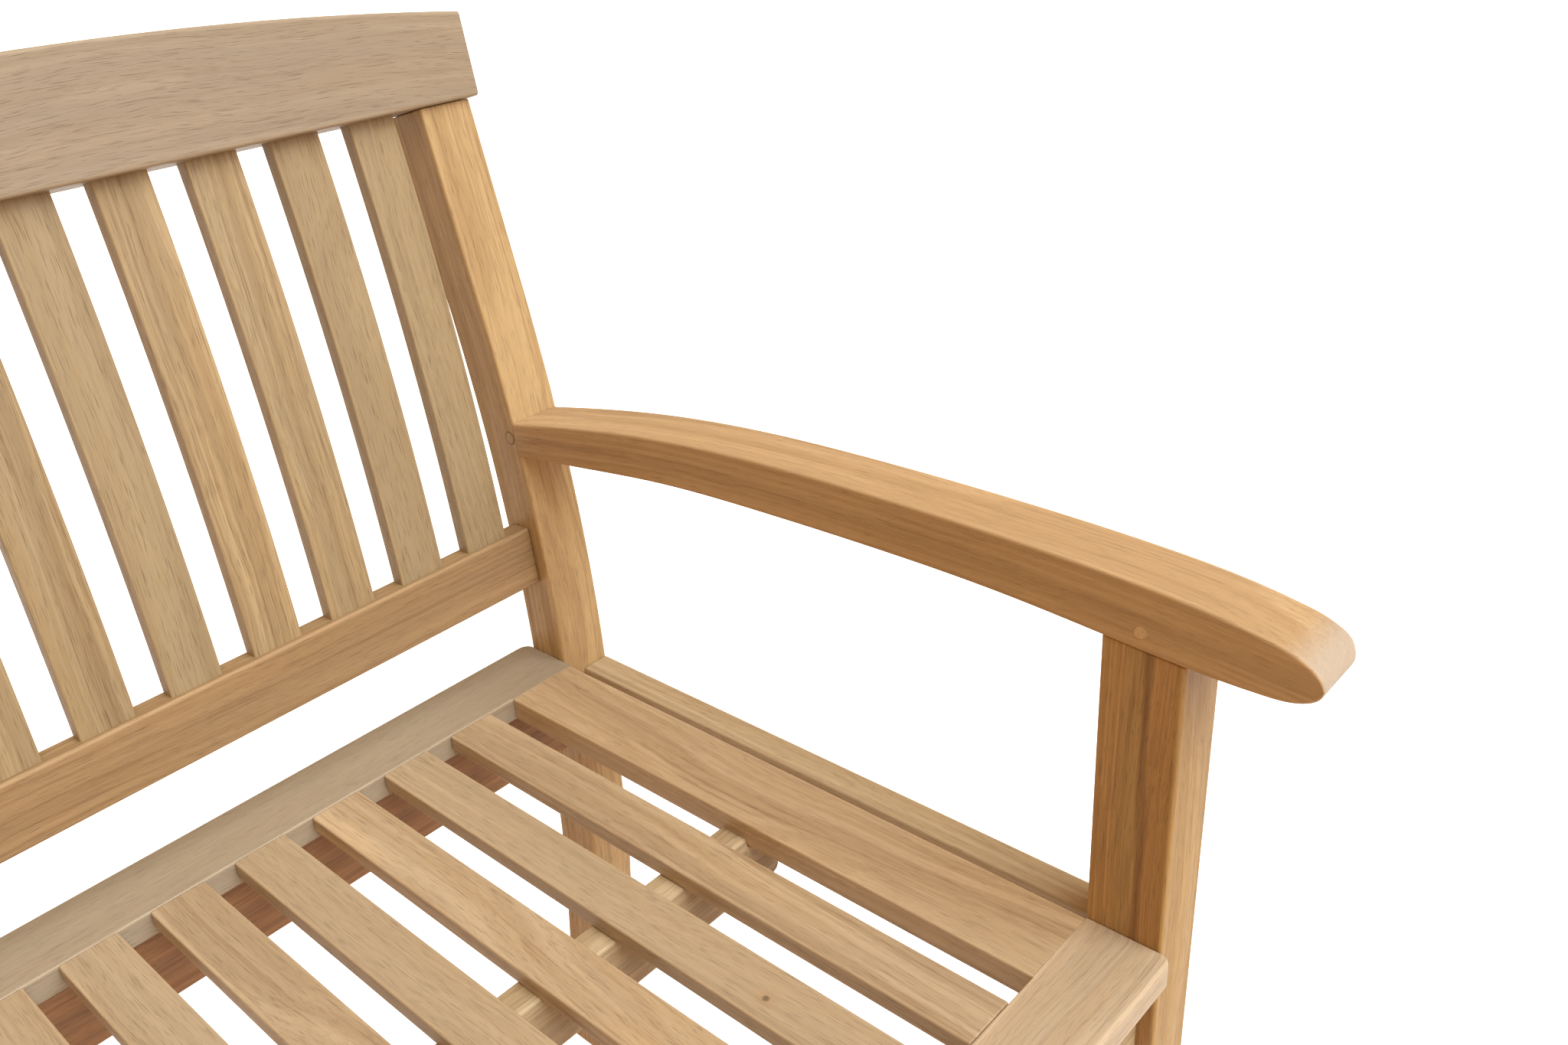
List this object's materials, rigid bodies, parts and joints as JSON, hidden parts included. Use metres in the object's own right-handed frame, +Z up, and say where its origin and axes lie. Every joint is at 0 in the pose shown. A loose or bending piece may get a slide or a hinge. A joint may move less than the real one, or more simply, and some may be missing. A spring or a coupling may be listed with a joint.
{
  "type": "garden bench",
  "caption": "Slatted wooden garden bench with bowed slat back, curved armrests and a flush slatted seat panel between square legs.",
  "frame": {"origin": "on the floor, in the middle of the bounding box", "axes": "+X along the bench to the viewer's right, -Y to the front, +Z up"},
  "size_m": [1.2158, 0.6546, 0.8983],
  "materials": {
    "frame_wood": "oiled, open grain",
    "back_wood": "oiled, open grain",
    "seat_wood": "oiled, open grain",
    "apron_wood": "oiled, open grain",
    "dark_wood": "oiled heartwood",
    "peg_wood": "end grain plug"
  },
  "bodies": {
    "root": {"arm_left": "frame_wood", "arm_peg_left": "peg_wood", "arm_peg_right": "peg_wood", "arm_right": "frame_wood", "back_slat_01": "back_wood", "back_slat_02": "back_wood", "back_slat_03": "back_wood", "back_slat_04": "back_wood", "back_slat_05": "back_wood", "back_slat_06": "back_wood", "back_slat_07": "back_wood", "back_slat_08": "back_wood", "back_slat_09": "back_wood", "back_slat_10": "back_wood", "back_slat_11": "back_wood", "back_slat_12": "back_wood", "back_slat_13": "back_wood", "back_slat_14": "back_wood", "back_slat_15": "back_wood", "back_slat_16": "back_wood", "back_slat_17": "back_wood", "back_slat_18": "back_wood", "back_slat_19": "back_wood", "back_slat_20": "back_wood", "crest_rail": "back_wood", "front_apron": "apron_wood", "front_leg_left": "frame_wood", "front_leg_right": "frame_wood", "lower_back_rail": "back_wood", "post_peg_left": "peg_wood", "post_peg_right": "peg_wood", "rear_apron": "dark_wood", "rear_leg_left": "frame_wood", "rear_leg_right": "frame_wood", "seat_batten": "apron_wood", "seat_front_rail": "seat_wood", "seat_rear_rail": "seat_wood", "seat_side_board_left": "seat_wood", "seat_side_board_right": "seat_wood", "seat_slat_01": "seat_wood", "seat_slat_02": "seat_wood", "seat_slat_03": "seat_wood", "seat_slat_04": "seat_wood", "seat_slat_05": "seat_wood", "seat_slat_06": "seat_wood", "seat_slat_07": "seat_wood", "seat_slat_08": "seat_wood", "seat_slat_09": "seat_wood", "seat_slat_10": "seat_wood", "seat_slat_11": "seat_wood", "seat_slat_12": "seat_wood", "seat_slat_13": "seat_wood", "seat_slat_14": "seat_wood", "seat_slat_15": "seat_wood", "seat_slat_16": "seat_wood", "seat_slat_17": "seat_wood", "seat_slat_18": "seat_wood", "side_apron_left": "apron_wood", "side_apron_right": "apron_wood"}
  },
  "joints": []
}
